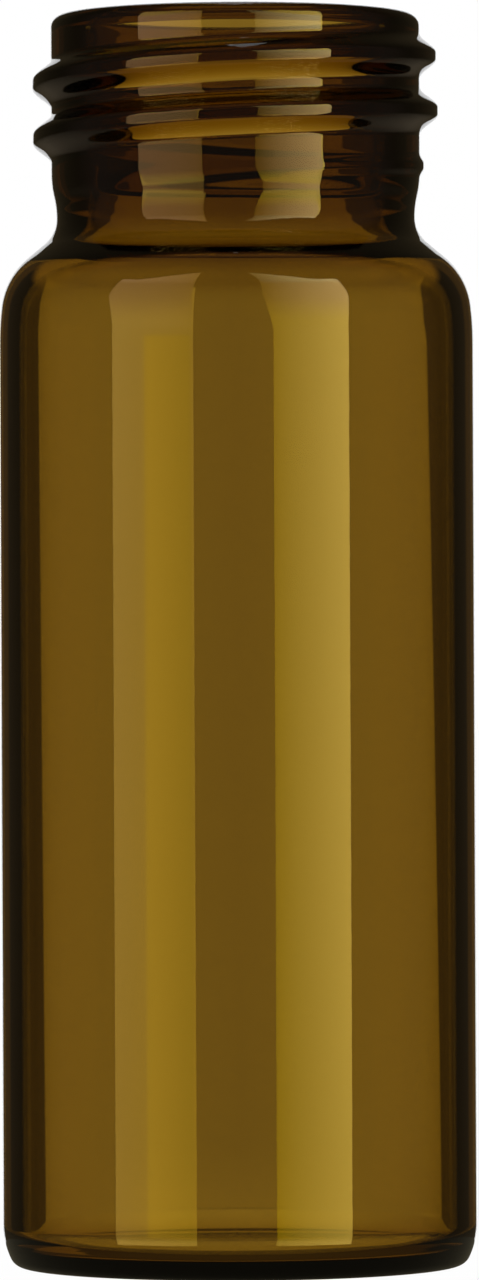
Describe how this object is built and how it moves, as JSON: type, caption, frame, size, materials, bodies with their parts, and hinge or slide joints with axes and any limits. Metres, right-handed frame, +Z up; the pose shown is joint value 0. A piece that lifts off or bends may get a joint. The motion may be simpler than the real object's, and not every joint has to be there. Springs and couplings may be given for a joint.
{
  "type": "glass sample vial",
  "caption": "Amber glass sample vial: straight round body, rounded shoulder and an open neck with a raised right-hand screw thread.",
  "frame": {"origin": "middle of the base, on the surface that the vial stands on", "axes": "+Z up along the vial's axis to the mouth; the thread's top turn crosses the +X side"},
  "size_m": [0.0274, 0.0274, 0.0725],
  "materials": {
    "amber_glass": "clear fire-polished glass"
  },
  "bodies": {
    "root": {"vial": "amber_glass"}
  },
  "joints": []
}
